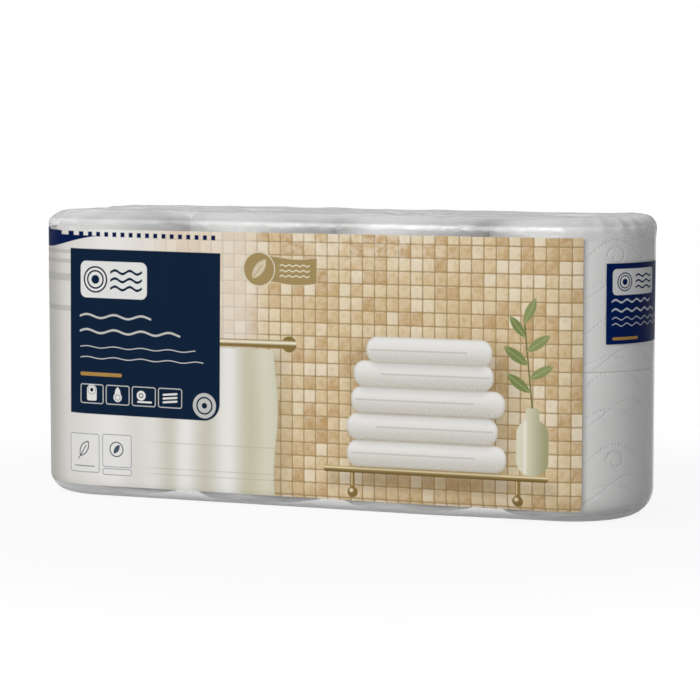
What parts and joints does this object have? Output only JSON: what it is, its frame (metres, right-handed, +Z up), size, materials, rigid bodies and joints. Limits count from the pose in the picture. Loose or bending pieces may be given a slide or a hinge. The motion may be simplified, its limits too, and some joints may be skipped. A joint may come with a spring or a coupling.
{
  "type": "toilet paper roll pack",
  "caption": "Toilet paper rolls standing on end in two layers, wrapped in a clear film with folded ends and a printed front.",
  "frame": {"origin": "middle of the pack's base, on the floor plane", "axes": "+X along the row of rolls, to the right seen from the front; -Y out of the printed front; +Z up along the rolls' axes"},
  "size_m": [0.4422, 0.1114, 0.2008],
  "materials": {
    "clear_film": "thin clear film, glossy, printed on the front",
    "tissue": "soft embossed tissue",
    "core_board": "uncoated spiral-wound board"
  },
  "bodies": {
    "root": {"film_wrap": "clear_film", "lower_roll_1": "tissue", "lower_roll_2": "tissue", "lower_roll_3": "tissue", "lower_roll_4": "tissue", "upper_roll_1": "tissue", "upper_roll_2": "tissue", "upper_roll_3": "tissue", "upper_roll_4": "tissue", "lower_core_1": "core_board", "lower_core_2": "core_board", "lower_core_3": "core_board", "lower_core_4": "core_board", "upper_core_1": "core_board", "upper_core_2": "core_board", "upper_core_3": "core_board", "upper_core_4": "core_board"}
  },
  "joints": []
}
